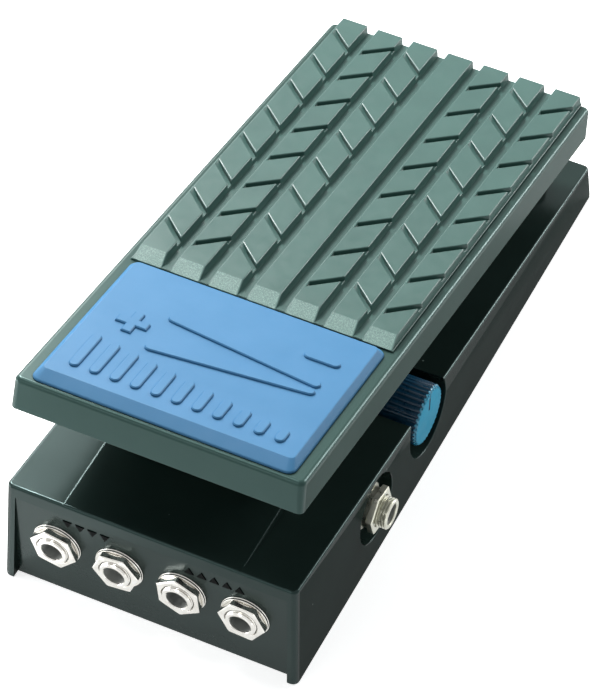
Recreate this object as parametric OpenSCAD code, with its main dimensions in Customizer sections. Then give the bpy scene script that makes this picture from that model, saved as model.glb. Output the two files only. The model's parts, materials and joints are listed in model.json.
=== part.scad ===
// Volume pedal: a rocking treadle on a wedge-shaped die-cast base.
// X is the width, Y the length (toe end towards -Y, heel end towards +Y), Z is up from the ground.
// The treadle pivots at Y = 0; a toothed sector under it turns the main control's pinion.

/* [Base] */
// Width of the base across its top edges
base_w = 90; // [88:0.5:100]
// Length of the base from front to rear
base_l = 217; // [214:0.5:230]
// Height of the base's top edge at the front
base_front_h = 38.9; // [38:0.1:40]
// How much lower the base's top edge is at the rear
base_fall = 27.2; // [26:0.1:28]
// How far each side leans out from top to bottom
base_draft = 1.3; // [0.5:0.1:2]
// How far the front corners lean out from top to bottom
front_draft = 1.2; // [0:0.1:2]
// Wall of the casting
wall = 2.5; // [2.2:0.1:3]
// Radius of the base's corners seen from above
base_corner_r = 2; // [1.5:0.5:4]
// Radius along the base's top edges
base_edge_r = 0.9; // [0.5:0.1:1.5]
// Width of the level deck between the sloping flanks
deck_w = 55.5; // [55:0.5:57]
// Length of the deck behind the front edge
deck_l = 134; // [126:1:138]
// Length of the slope at the deck's rear end
deck_slope_l = 9; // [6:1:12]

/* [Front panel] */
// Lean of the jack panel from upright, in degrees
panel_tilt = 2.5; // [1:0.5:5]
// Height at which the leaning panel starts
panel_top = 34.5; // [33.5:0.5:36]
// Width of the post left at each end of the panel
post_w = 3; // [2.5:0.25:4]

/* [Jacks] */
// Distance between the front jacks
jack_pitch = 19.6; // [19:0.1:20.5]
// Distance of the front jacks' axes below the base's top edge
jack_drop = 17.9; // [17.5:0.1:18.5]
// Radius of the plug bore in a jack bushing
plug_r = 3.25; // [3.2:0.05:3.3]
// Outside radius of a jack bushing's thread
bushing_r = 4.75; // [4.6:0.05:5]
// Width of a jack body
jack_body_w = 16; // [14:0.5:17]
// Height of a jack body
jack_body_h = 17; // [15:0.5:17.5]
// Length of a jack body behind the panel
jack_body_l = 25; // [23:0.5:26]
// How far a front bushing stands out of the panel
front_bushing_out = 4.1; // [3.8:0.1:6]
// Size across the flats of a jack nut
jack_nut_af = 12.7; // [12:0.1:14]
// Thickness of a jack nut
jack_nut_t = 2.1; // [2:0.1:3]
// Outside radius of a jack washer
jack_washer_r = 7.9; // [7.6:0.1:9]
// Thickness of a jack washer
jack_washer_t = 1.2; // [0.5:0.1:1.3]
// Distance of the side jack behind the front edge
side_jack_y = 52.7; // [51:0.5:54]
// Distance of the side jack's axis below the flank's plane
side_jack_drop = 12.5; // [12.3:0.1:13]
// Radius of the side jack's round pocket
side_pocket_r = 11; // [10:0.5:11.5]
// Depth of the side jack's pocket
side_pocket_depth = 3; // [2:0.5:4]
// How far the side bushing stands out of its pocket's floor
side_bushing_out = 8.6; // [7:0.2:10]
// Thickness of the spacer under the side jack's nut
side_spacer_t = 2; // [1:0.1:2.5]
// Radius of that spacer
side_spacer_r = 6.2; // [5.8:0.1:6.3]

/* [Treadle] */
// Width of the treadle across its top
treadle_w = 87.7; // [86:0.1:90]
// Depth of the treadle's skirt
treadle_t = 10.6; // [10:0.1:12]
// Thickness of the treadle's top
treadle_skin = 3; // [2.5:0.1:3.5]
// Thickness of the treadle's skirt wall
treadle_wall = 2.6; // [2.2:0.1:3]
// How far each skirt leans out from top to bottom
treadle_draft = 0.45; // [0.2:0.05:0.8]
// Radius along the treadle's top edges
treadle_edge_r = 1.5; // [1:0.1:2]
// Radius of the treadle's corners seen from above
treadle_corner_r = 2; // [2:0.5:4]
// Slope of the treadle at rest, in degrees
treadle_slope = 10.93; // [10.5:0.01:11.2]
// Distance of the treadle's toe edge behind the base's front edge at rest
toe_setback = 4.9; // [3:0.1:6]
// Distance of the treadle's heel edge before the base's rear edge at rest
heel_setback = 2.2; // [1.5:0.1:4]
// Height of the treadle's top straight above the axle at rest
treadle_rise = 15; // [14.6:0.1:16]
// Travel from rest until the toe end is down, in degrees
toe_travel = 14; // [12:0.5:14]
// Travel from rest until the heel end is down, in degrees
heel_travel = 6.5; // [4:0.5:6.5]

/* [Mat and toe pad] */
// Distance between the tread ribs
rib_pitch = 12; // [11:0.1:12.2]
// Width of a tread rib
rib_w = 8.3; // [7:0.1:9]
// How far each rib's sides lean out from top to bottom
rib_taper = 0.5; // [0.2:0.1:0.8]
// Height of the tread ribs above the treadle
rib_h = 3.1; // [2:0.1:4]
// Thickness of the mat between its ribs
mat_t = 0.6; // [0.4:0.1:1]
// Where the mat starts behind the toe edge
mat_start = 66; // [65.5:0.1:70]
// Length of the ramp at the start of each rib
rib_ramp_l = 4.5; // [2:0.5:8]
// Distance between the slanted grooves along a rib
groove_pitch = 16.95; // [14:0.05:20]
// Width of a slanted groove
groove_w = 1.7; // [1:0.1:2.5]
// Wall left at the end of each slanted groove, on the rib's -X side
groove_lip = 0.8; // [0.4:0.1:1.5]
// Depth of a slanted groove
groove_depth = 1.5; // [0.8:0.1:2]
// How far the toe pad's sides lie inside the mat's sides
pad_inset = 0.45; // [0:0.05:4]
// Length of the toe pad
pad_l = 63.2; // [50:0.1:63.7]
// Height of the toe pad
pad_h = 2.5; // [1.5:0.1:3.5]
// Bevel of the toe pad along its sides and rear
pad_edge = 1.5; // [1:0.1:2]
// Bevel of the toe pad along its front
pad_front_edge = 3.4; // [2:0.1:5]

/* [Pivot] */
// Height of the pivot axle above the deck
pivot_rise = 5.1; // [4.8:0.1:5.5]
// Radius of the pivot axle
axle_r = 3; // [2.5:0.1:3.2]
// Thickness of each base ear
ear_t = 5; // [4:0.5:6]
// Radius of the rounded base ears
ear_r = 6; // [5.8:0.1:6.5]
// Wall of a pivot bushing
pivot_bushing_wall = 1; // [0.8:0.1:1.2]
// Thickness of a pivot bushing's flange
pivot_flange_t = 0.6; // [0.5:0.1:1]
// Thickness of each treadle lug
lug_t = 5; // [4:0.5:6]

/* [Gears] */
// Gear module, the pitch diameter per tooth
gear_module = 1; // [1:0.01:1.02]
// Teeth that the sector's full circle would have
sector_teeth = 110; // [108:1:112]
// Teeth on the pinion
pinion_teeth = 12; // [12:1:13]
// Angle of the pinion below the pivot's level, in degrees
pinion_angle = 18; // [17:0.5:19]
// Thickness of the sector
sector_t = 3; // [2:0.5:4]
// Width of the pinion's teeth
pinion_w = 5; // [4:0.5:6]

/* [Controls] */
// Radius of a control's round body
pot_r = 8; // [7:0.5:8.2]
// Length of a control's body
pot_l = 9.5; // [8:0.5:11]
// Radius of a control's shaft
pot_shaft_r = 3; // [2.9:0.05:3.1]
// Distance of the minimum volume knob behind the front edge
knob_y = 89.3; // [87:0.1:90]
// Distance of the minimum volume knob's axis below the flank's plane
knob_drop = 5; // [4.7:0.1:5.5]
// Radius of the minimum volume knob
knob_r = 9.5; // [9:0.1:10.5]
// Radius of the notch round the knob
notch_r = 13; // [12:0.5:13.5]
// How far the knob's face stands out of the base's side
knob_out = 0.6; // [0:0.1:2]
// Number of flutes round the knob
knob_flutes = 36; // [18:1:40]

/* [Underside] */
// Thickness of the rubber base pad
rubber_t = 2; // [1.9:0.1:2.5]
// Height of the casting's rim above the ground
rim_z = 0.2; // [0.1:0.1:0.6]
// Thickness of the bottom plate
plate_t = 1.6; // [1.2:0.1:2]

/* [Hidden] */
$fn = 48;
eps = 0.01;                       // overlap that makes a cut or a join clean
hull_fn = 24;                     // facets of the round corners of a hull
fit_gap = 0.3;                    // gap between a loose piece and its seat
run_gap = 0.05;                   // radial clearance of a shaft that turns
seat_gap = 0.02;                  // radial clearance of a shaft that is fixed
thread_gap = 0.05;                // radial clearance that stands in for a thread
stop_gap = 0.3;                   // what the bumpers leave at the ends of the travel

front_y = -base_l / 2;
base_rear_h = base_front_h - base_fall;
flank_slope = atan(base_fall / base_l);
flank_l = base_l / cos(flank_slope);
toe_y = front_y + toe_setback;
pivot_z = base_front_h + pivot_rise;
toe_z = pivot_z + treadle_rise - toe_y * tan(treadle_slope);
treadle_l = (base_l - toe_setback - heel_setback) / cos(treadle_slope);
mat_w = 6 * rib_pitch + rib_w;
pad_w = mat_w - 2 * pad_inset;
inner_w = base_w - 2 * wall;
inner_deck_w = deck_w - 2 * wall;
plate_z = rubber_t;
plate_top = rubber_t + plate_t;

// Height of the flanks' plane at a distance y along the base
function flank_z(y) = base_front_h - (y - front_y) * tan(flank_slope);
// Front face of the jack panel at a height z
function panel_y(z) = front_y + max(0, panel_top - z) * tan(panel_tilt);
// Base frame position [y, z] of a point of the treadle at rest
function treadle_yz(l, z) = [toe_y + l * cos(treadle_slope) + z * sin(treadle_slope),
                             toe_z - l * sin(treadle_slope) + z * cos(treadle_slope)];
// A point [y, z] turned about the pivot; a positive angle lowers the toe end
function turned(p, a) = [p[0] * cos(a) - (p[1] - pivot_z) * sin(a),
                         pivot_z + p[0] * sin(a) + (p[1] - pivot_z) * cos(a)];
// Pivot in the treadle's own frame [l, z]
pivot_l = -toe_y * cos(treadle_slope) - (pivot_z - toe_z) * sin(treadle_slope);
pivot_t = -toe_y * sin(treadle_slope) + (pivot_z - toe_z) * cos(treadle_slope);

// Pivot stack across the width
ear_out = deck_w / 2 - 0.5;
lug_in = ear_out + pivot_flange_t + 0.2;
lug_out = lug_in + lug_t;
lug_r = axle_r + 3.5;
clip_t = 0.7;
clip_x = lug_out + 0.1;
axle_end = clip_x + clip_t + 1.2;
clip_groove_r = axle_r - 0.7;
flange_r = pivot_rise - fit_gap;  // the bushing's flange clears the deck

// Gear geometry
addendum = 0.95 * gear_module;
dedendum = 1.2 * gear_module;
pressure_angle = 25;
backlash = 0.12;
sector_r = gear_module * sector_teeth / 2;
pinion_r = gear_module * pinion_teeth / 2;
sector_back_r = sector_r - 8;
tooth_step = 360 / sector_teeth;
first_tooth = -ceil((toe_travel + tooth_step) / tooth_step);
last_tooth = ceil((heel_travel + tooth_step) / tooth_step);
pinion_y = -(sector_r + pinion_r) * cos(pinion_angle);
pinion_z = pivot_z - (sector_r + pinion_r) * sin(pinion_angle);
slot_w = sector_t + 4;
slot_front = -(sector_r + addendum + 1.5);
slot_rear = -(sector_back_r - 3);

// Jack places
front_jack_x = [for (i = [-1.5 : 1 : 1.5]) i * jack_pitch];
nut_turns = [12, -8, 25, 3];      // how far each front nut ended up turned
side_floor_x = base_w / 2 - side_pocket_depth;
side_y = front_y + side_jack_y;
jack_z = base_front_h - jack_drop;
side_jack_z = flank_z(side_y) - side_jack_drop;
board_t = 1.6;
bushing_hole_r = bushing_r + 0.15;
body_bore_r = plug_r + 0.4;
body_bore_l = jack_body_l - 2;

// Control places
pot_bushing_r = 3.5;
pot_bushing_l = 7.5;
pot_nut_af = 10;
pot_nut_t = 2;
bracket_t = 1.5;
bracket_x = bracket_t - pot_bushing_l - pinion_w / 2 - 0.5; // bracket's face towards the pinion
bracket_w = 20;
bracket_flange = inner_deck_w / 2 + bracket_x - bracket_t - 1.75; // ends 1.75 from the deck's wall
bracket_screw_y = bracket_w / 2 - 5; // from the middle of the bracket
knob_y0 = front_y + knob_y;
knob_z = flank_z(knob_y0) - knob_drop;
notch_floor_x = deck_w / 2 + 1.75;
knob_in_x = notch_floor_x + 3.7;
knob_out_x = base_w / 2 + knob_out;
shaft_end_x = knob_out_x - 2.5;

// Screws of the underside
screw_r = 1.5;
screw_head_r = 2.8;
screw_head_t = 1.6;
boss_r = 4;
front_boss_y = front_y + wall + jack_body_l + 8 + boss_r; // clear of the jacks' board
mid_boss_y = 11.5;
rear_boss_y = -front_y - wall - 2.5 - 2 * boss_r;
boss_places = [for (s = [-1, 1], y = [front_boss_y, mid_boss_y, rear_boss_y])
    [s * (inner_w / 2 - boss_r + 0.6), y]];

// Treadle underside
stop_rib_t = 2.4;
toe_rib_l = pivot_l - 70.4;
heel_rib_l = pivot_l + 94.4;
sector_l = pivot_l - sector_r;    // middle of the sector's foot along the treadle
cross_rib_places = [pivot_l - 23, pivot_l + 42];
sector_boss_h = 3;
sector_foot_t = 2.4;
sector_foot_w = 22;
sector_foot_l = 13;
foot_z = -treadle_skin - sector_boss_h;
sector_screw_x = 7;

toe_contact = turned(treadle_yz(toe_rib_l, -treadle_t), toe_travel);
heel_contact = turned(treadle_yz(heel_rib_l, -treadle_t), -heel_travel);
toe_bumper_r = 5;
toe_bumper_x = deck_w / 2 - toe_bumper_r - 1.2;
toe_bumper_h = toe_contact[1] - base_front_h - stop_gap
               - toe_bumper_r * tan(toe_travel - treadle_slope);
heel_bumper_r = 4;
heel_bumper_x = 33;
heel_bumper_h = (heel_contact[1] - flank_z(heel_contact[0])) * cos(flank_slope) - stop_gap
                - heel_bumper_r * tan(treadle_slope + heel_travel - flank_slope);

cast = "#39453f";
black_cast = "#1d2321";
nickel = "#c9cbc6";

// ---------- shared shapes ----------

// A profile drawn as [y, z], drawn out along X from x0 to x1
module along_x(x0, x1) {
    translate([x0, 0, 0]) rotate([90, 0, 90]) linear_extrude(x1 - x0) children();
}

// A round bar along X
module bar_x(x0, x1, r) {
    translate([x0, 0, 0]) rotate([0, 90, 0]) cylinder(h = x1 - x0, r = r);
}

// A round bar along Y
module bar_y(y0, y1, r) {
    translate([0, y0, 0]) rotate([-90, 0, 0]) cylinder(h = y1 - y0, r = r);
}

// A disc with its top edge rounded and its top at Z = 0
module soft_disc(r, edge) {
    translate([0, 0, -edge]) rotate_extrude($fn = hull_fn) {
        square([r - edge, edge]);
        translate([r - edge, 0]) intersection() {
            circle(edge, $fn = hull_fn);
            square(edge);
        }
    }
}

// A hexagon nut standing on Z = 0 with chamfered corners
module hex_nut(af, t, bore_r) {
    corner_r = af / 2 / cos(30);
    chamfer = (corner_r - af / 2) * 0.45;
    difference() {
        intersection() {
            cylinder(h = t, r = corner_r, $fn = 6);
            rotate_extrude() polygon([[0, 0], [corner_r, 0], [corner_r, t - chamfer * 0.7],
                                      [corner_r - chamfer, t], [0, t]]);
        }
        translate([0, 0, -eps]) cylinder(h = t + 2 * eps, r = bore_r);
    }
}

// A pan-head screw: head below Z = 0, shank above it
module pan_screw(shank_l, head_t = screw_head_t) {
    cylinder(h = shank_l, r = screw_r);
    translate([0, 0, -head_t]) difference() {
        rotate_extrude() polygon([[0, 0], [screw_head_r - 0.6, 0], [screw_head_r, 0.6],
                                  [screw_head_r, head_t], [0, head_t]]);
        for (a = [0, 90]) rotate(a) cube([2.6, 0.6, 1.6], center = true);
    }
}

// Frame of the front jacks: the origin is on the panel and -Y points out of it
module on_panel(x) {
    translate([x, panel_y(jack_z), jack_z]) rotate([panel_tilt, 0, 0]) children();
}

// Frame of the side jack: the origin is on its pocket's floor and -Y points out of it
module on_side() {
    translate([side_floor_x, side_y, side_jack_z]) rotate(90) children();
}

// The treadle's frame at rest: Y runs from toe to heel along its top, Z = 0 is the top
module on_treadle() {
    translate([0, toe_y, toe_z]) rotate([-treadle_slope, 0, 0]) children();
}

// The flanks' frame: Y runs down the slope, Z = 0 is the flanks' plane
module on_flank() {
    translate([0, front_y, base_front_h]) rotate([-flank_slope, 0, 0]) children();
}

// ---------- gears ----------

function inv(a) = tan(a) * 180 / PI - a;
// Half the angle that a tooth takes up at radius r
function tooth_half(r, teeth) =
    let (rp = gear_module * teeth / 2, rb = rp * cos(pressure_angle))
    (PI * gear_module / 2 - backlash) / (2 * rp) * 180 / PI
    + inv(pressure_angle) - (r > rb ? inv(acos(rb / r)) : 0);
// Radii at which a tooth's flank is drawn, from root to tip
function flank_radii(teeth) =
    let (rp = gear_module * teeth / 2, rb = rp * cos(pressure_angle),
         root = rp - dedendum, low = max(rb, root + 0.15 * gear_module))
    [root, for (i = [0 : 5]) low + (rp + addendum - low) * i / 5];
function polar(r, a) = [r * cos(a), r * sin(a)];
// Outline of one tooth, counter-clockwise, centred on angle a
function tooth(teeth, a) =
    let (radii = flank_radii(teeth), n = len(radii))
    [for (i = [0 : n - 1]) polar(radii[i], a - tooth_half(radii[i], teeth)),
     for (i = [n - 1 : -1 : 0]) polar(radii[i], a + tooth_half(radii[i], teeth))];

// ---------- the base ----------

// Outer form of the wedge, without the deck
module base_wedge() {
    side = base_w / 2 - base_corner_r;
    hull() {
        on_flank() for (sx = [-1, 1], l = [base_corner_r, flank_l - base_corner_r])
            translate([sx * side, l, 0]) soft_disc(base_corner_r, base_edge_r);
        for (sx = [-1, 1], sy = [-1, 1])
            translate([sx * (side + base_draft),
                       sy * (base_l / 2 - base_corner_r) - (sy < 0 ? front_draft : 0), rim_z])
                cylinder(h = 1, r = base_corner_r, $fn = hull_fn);
    }
}

// A level block with the base's outline, which bounds the deck
module deck_block() {
    side = base_w / 2 - base_corner_r;
    hull() for (sx = [-1, 1], sy = [-1, 1])
        translate([sx * side, sy * (base_l / 2 - base_corner_r), base_front_h]) {
            soft_disc(base_corner_r, base_edge_r);
            translate([0, 0, -base_front_h + base_rear_h])
                cylinder(h = 1, r = base_corner_r, $fn = hull_fn);
        }
}

// Side view of the deck, lowered by d
module deck_side(d, y0, y1) {
    polygon([[y0, base_rear_h - d], [y0, base_front_h - d], [y1, base_front_h - d],
             [y1 + deck_slope_l, flank_z(y1 + deck_slope_l) - d - eps],
             [y1 + deck_slope_l, base_rear_h - d]]);
}

// Cross-section of the deck with rounded top edges, drawn as [x, z]
module deck_section() {
    w = deck_w / 2;
    r = base_edge_r;
    arc = [for (a = [0 : 15 : 90]) [w - r + r * sin(90 - a), base_front_h - r + r * sin(a)]];
    polygon([[-w, 0], each [for (p = arc) [-p[0], p[1]]],
             each [for (i = [len(arc) - 1 : -1 : 0]) arc[i]], [w, 0]]);
}

module base_outer() {
    deck_rear = front_y + deck_l;
    base_wedge();
    intersection() {
        deck_block();
        translate([0, -front_y, 0]) rotate([90, 0, 0]) linear_extrude(base_l) deck_section();
        along_x(-deck_w / 2 - 1, deck_w / 2 + 1) deck_side(0, front_y - 1, deck_rear);
    }
}

// Everything inside the casting's walls
module base_inside() {
    rear_in = -front_y - wall;
    deck_rear = front_y + deck_l;
    low = -1;
    along_x(-inner_w / 2, inner_w / 2)
        polygon([[panel_y(low) + wall, low], [panel_y(panel_top) + wall, panel_top],
                 [panel_y(panel_top) + wall, flank_z(front_y + wall) - wall],
                 [rear_in, flank_z(rear_in) - wall], [rear_in, low]]);
    along_x(-inner_deck_w / 2, inner_deck_w / 2)
        deck_side(wall, front_y + wall, deck_rear - wall);
}

// Ear that carries the axle at one side of the deck
module base_ear() {
    translate([0, 0, pivot_z]) bar_x(ear_out - ear_t, ear_out, ear_r);
    translate([ear_out - ear_t, -ear_r, base_front_h - wall / 2])
        cube([ear_t, 2 * ear_r, pivot_z - base_front_h + wall / 2]);
}

// The round pockets' walls, kept inside the casting's outer form
module pocket_walls() {
    intersection() {
        base_wedge();
        union() {
            translate([0, knob_y0, knob_z])
                bar_x(inner_deck_w / 2, base_w / 2 + base_draft, notch_r + wall);
            translate([0, side_y, side_jack_z])
                bar_x(side_floor_x - wall, base_w / 2 + base_draft, side_pocket_r + wall);
        }
    }
}

// The space between the front posts, drawn as [x, z]
module between_posts() {
    top = base_w / 2 - post_w;
    polygon([[-top - base_draft, 0], [-top, base_front_h], [top, base_front_h],
             [top + base_draft, 0]]);
}

module base_shell() {
    color(black_cast) difference() {
        union() {
            difference() {
                base_outer();
                base_inside();
            }
            pocket_walls();
            for (s = [0, 1]) mirror([s, 0, 0]) base_ear();
            // bosses that take the bottom plate's screws
            for (p = boss_places) translate([p[0], p[1], plate_top])
                cylinder(h = flank_z(p[1]) - plate_top - wall / 2, r = boss_r);
        }
        // the leaning jack panel between its posts, whose inner faces lean as the sides do
        intersection() {
            along_x(-base_w / 2, base_w / 2)
                polygon([[front_y - 5, 0], [panel_y(0), 0], [front_y, panel_top],
                         [front_y - 5, panel_top]]);
            translate([0, front_y + 10, 0]) rotate([90, 0, 0]) linear_extrude(20) between_posts();
        }
        for (x = front_jack_x) on_panel(x) bar_y(-5, wall + 5, bushing_hole_r);
        // side jack: pocket and hole
        on_side() {
            bar_y(-side_pocket_depth - 5, 0, side_pocket_r);
            bar_y(-1, wall + 1, bushing_hole_r);
        }
        // knob notch, and the hole for its control's bushing
        translate([0, knob_y0, knob_z]) {
            bar_x(notch_floor_x, base_w, notch_r);
            bar_x(inner_deck_w / 2 - 1, notch_floor_x + 1, pot_bushing_r + 0.15);
        }
        // slot for the sector
        translate([-slot_w / 2, slot_front, base_front_h - wall - 1])
            cube([slot_w, slot_rear - slot_front, wall + 2]);
        // seats of the pivot bushings
        translate([0, 0, pivot_z])
            for (s = [-1, 1]) bar_x(min(s * (ear_out - ear_t - 1), s * (ear_out + 1)),
                                    max(s * (ear_out - ear_t - 1), s * (ear_out + 1)),
                                    axle_r + run_gap + pivot_bushing_wall);
        for (p = boss_places) translate([p[0], p[1], plate_top - eps])
            cylinder(h = 5, r = screw_r + thread_gap);
        for (p = bracket_screw_places) translate([p[0], p[1], base_front_h - wall - 1])
            cylinder(h = wall + 2, r = screw_r + 0.15);
    }
}

// Outline of what closes the underside, drawn g inside the casting's walls
module floor_outline(g) {
    x = inner_w / 2 - g;
    y0 = panel_y(0) + wall + g;
    y1 = -front_y - wall - g;
    r = base_corner_r;
    for (sx = [-1, 1]) translate([sx * (x - r), y1 - r]) circle(r);
    translate([-x, y0]) square([2 * x, y1 - r - y0]);
    translate([-x + r, y0]) square([2 * (x - r), y1 - y0]);
}

module bottom_plate() {
    color("#8b8f8d") translate([0, 0, plate_z]) difference() {
        linear_extrude(plate_t) floor_outline(fit_gap);
        for (p = boss_places) translate([p[0], p[1], -1])
            cylinder(h = plate_t + 2, r = screw_r + 0.2);
    }
}

module base_pad() {
    color("#20211f") difference() {
        linear_extrude(rubber_t) floor_outline(fit_gap);
        for (p = boss_places) translate([p[0], p[1], -1])
            cylinder(h = rubber_t + 2, r = screw_head_r + 0.7);
    }
}

module bottom_screws() {
    color(nickel) for (p = boss_places) translate([p[0], p[1], plate_z])
        pan_screw(plate_t + 4);
}

module toe_bumpers() {
    color("#202020") for (s = [-1, 1])
        translate([s * toe_bumper_x, toe_contact[0], base_front_h])
            cylinder(h = toe_bumper_h, r = toe_bumper_r);
}

module heel_bumpers() {
    color("#202020") on_flank() for (s = [-1, 1])
        translate([s * heel_bumper_x, (heel_contact[0] - front_y) / cos(flank_slope), 0])
            cylinder(h = heel_bumper_h, r = heel_bumper_r);
}

module pivot_bushings() {
    color("#e4e0d2") translate([0, 0, pivot_z]) for (s = [0, 1]) mirror([s, 0, 0])
        difference() {
            union() {
                bar_x(ear_out - ear_t, ear_out, axle_r + run_gap + pivot_bushing_wall);
                bar_x(ear_out, ear_out + pivot_flange_t, flange_r);
            }
            bar_x(ear_out - ear_t - 1, ear_out + 2, axle_r + run_gap);
        }
}

// ---------- jacks ----------

// Body of a jack behind its panel, along +Y, with its terminals below
module jack_body() {
    color("#17191a") difference() {
        union() {
            translate([-jack_body_w / 2, wall, -jack_body_h / 2])
                cube([jack_body_w, jack_body_l, jack_body_h]);
            for (x = [-1, 1] * (jack_body_w / 2 - 3), y = [6, 12, 18])
                translate([x - 0.4, wall + y - 0.6, -jack_body_h / 2 - board_t - 1.4])
                    cube([0.8, 1.2, board_t + 2]);
        }
        bar_y(wall - 1, wall + body_bore_l, body_bore_r);
    }
}

// Threaded bushing of a jack: a tube through the panel, along Y
module jack_bushing(out) {
    color(nickel) difference() {
        union() {
            bar_y(-out + 0.4, wall, bushing_r);
            bar_y(-out, -out + 0.4 + eps, bushing_r - 0.35);
        }
        bar_y(-out - 1, wall + 1, plug_r);
    }
}

module front_jack_body(i) { on_panel(front_jack_x[i]) jack_body(); }
module front_jack_bushing(i) { on_panel(front_jack_x[i]) jack_bushing(front_bushing_out); }

module jack_washer() {
    difference() {
        bar_y(-jack_washer_t, 0, jack_washer_r);
        bar_y(-jack_washer_t - 1, 1, bushing_hole_r);
    }
}

// A jack's nut, turned by a, on its washer and on a spacer of thickness s
module jack_nut(a, s = 0) {
    translate([0, -jack_washer_t - s, 0]) rotate([90, a, 0])
        hex_nut(jack_nut_af, jack_nut_t, bushing_r + thread_gap);
}

module front_jack_washers() {
    color(nickel) for (x = front_jack_x) on_panel(x) jack_washer();
}

module front_jack_nuts() {
    color(nickel) for (i = [0 : 3]) on_panel(front_jack_x[i]) jack_nut(nut_turns[i]);
}

module jack_board() {
    x = 1.5 * jack_pitch + jack_body_w / 2;
    color("#2e5b3a") on_panel(0) difference() {
        translate([-x, wall + 2, -jack_body_h / 2 - board_t])
            cube([2 * x, jack_body_l + 2, board_t]);
        for (jx = front_jack_x, s = [-1, 1], y = [6, 12, 18])
            translate([jx + s * (jack_body_w / 2 - 3) - 0.6, wall + y - 0.8,
                       -jack_body_h / 2 - board_t - 1])
                cube([1.2, 1.6, board_t + 2]);
    }
}

module side_jack_body() { on_side() jack_body(); }
module side_jack_bushing() { on_side() jack_bushing(side_bushing_out); }
module side_jack_nut() { color(nickel) on_side() jack_nut(10, side_spacer_t); }

// The side jack's washer and the narrower spacer on it, in one piece
module side_jack_washer() {
    color(nickel) on_side() {
        jack_washer();
        difference() {
            bar_y(-jack_washer_t - side_spacer_t, -jack_washer_t + eps, side_spacer_r);
            bar_y(-jack_washer_t - side_spacer_t - 1, 1, bushing_hole_r);
        }
    }
}

// ---------- main control ----------

bracket_screw_places = [for (s = [-1, 1]) [bracket_x - bracket_t - bracket_flange / 2,
                                           pinion_y + s * bracket_screw_y]];

// A rotary control: body from X = -pot_l to 0, bushing out to +X
module pot_body() {
    difference() {
        union() {
            bar_x(-pot_l, 0, pot_r);
            bar_x(0, pot_bushing_l, pot_bushing_r);
            for (y = [-5, 0, 5]) translate([-4, y - 1, -pot_r - 4]) cube([0.6, 2, 6]);
        }
        bar_x(-2, pot_bushing_l + 1, pot_shaft_r + run_gap);
    }
}

module pot_bracket() {
    top = base_front_h - wall;
    color("#a9adab") difference() {
        union() {
            translate([bracket_x - bracket_t, pinion_y - bracket_w / 2, pinion_z - pot_r - 1])
                cube([bracket_t, bracket_w, top - pinion_z + pot_r + 1]);
            translate([bracket_x - bracket_t - bracket_flange, pinion_y - bracket_w / 2,
                       top - bracket_t])
                cube([bracket_flange + bracket_t, bracket_w, bracket_t]);
        }
        translate([0, pinion_y, pinion_z])
            bar_x(bracket_x - bracket_t - 1, bracket_x + 1, pot_bushing_r + 0.1);
        for (p = bracket_screw_places) translate([p[0], p[1], top - bracket_t - 1])
            cylinder(h = bracket_t + 2, r = screw_r + thread_gap);
    }
}

module bracket_screws() {
    color(nickel) for (p = bracket_screw_places) translate([p[0], p[1], base_front_h])
        mirror([0, 0, 1]) pan_screw(wall + bracket_t + 1.5);
}

module main_pot_body() {
    color("#9fa3a2") translate([bracket_x - bracket_t, pinion_y, pinion_z]) pot_body();
}

module main_pot_nut() {
    color(nickel) translate([bracket_x, pinion_y, pinion_z]) rotate([0, 90, 0])
        hex_nut(pot_nut_af, pot_nut_t, pot_bushing_r + thread_gap);
}

pinion_hub_l = 4;
module main_pot_shaft() {
    color("#d6d6d2") translate([0, pinion_y, pinion_z])
        bar_x(bracket_x - bracket_t - 1.8, pinion_w / 2 + pinion_hub_l, pot_shaft_r);
}

// The pinion has a gap turned towards the pivot, where the sector's middle tooth sits
module pinion() {
    step = 360 / pinion_teeth;
    root = pinion_r - dedendum;
    color("#e9e6da") translate([0, pinion_y, pinion_z]) difference() {
        union() {
            along_x(-pinion_w / 2, pinion_w / 2) {
                circle(root + 0.05);
                for (i = [0 : pinion_teeth - 1])
                    polygon([[0, 0], each tooth(pinion_teeth, pinion_angle + (i + 0.5) * step)]);
            }
            bar_x(pinion_w / 2 - eps, pinion_w / 2 + pinion_hub_l, root + 0.2);
        }
        bar_x(-pinion_w, pinion_w / 2 + pinion_hub_l + 1, pot_shaft_r + seat_gap);
        translate([pinion_w / 2 + pinion_hub_l / 2, 0, 0]) cylinder(h = 10, r = 1.05);
    }
}

module pinion_screw() {
    color("#3a3a3a") translate([pinion_w / 2 + pinion_hub_l / 2, pinion_y,
                                pinion_z + pot_shaft_r + seat_gap])
        cylinder(h = 1.6, r = 1);
}

// ---------- minimum volume control ----------

module min_pot_body() {
    color("#9fa3a2") translate([inner_deck_w / 2, knob_y0, knob_z]) pot_body();
}

module min_pot_washer() {
    color(nickel) translate([notch_floor_x, knob_y0, knob_z]) difference() {
        bar_x(0, 0.5, 6);
        bar_x(-1, 2, pot_bushing_r + 0.1);
    }
}

module min_pot_nut() {
    color(nickel) translate([notch_floor_x + 0.5, knob_y0, knob_z]) rotate([0, 90, 0])
        hex_nut(pot_nut_af, pot_nut_t, pot_bushing_r + thread_gap);
}

module min_pot_shaft() {
    color("#d6d6d2") translate([0, knob_y0, knob_z])
        bar_x(inner_deck_w / 2 - 1.8, shaft_end_x, pot_shaft_r);
}

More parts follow.
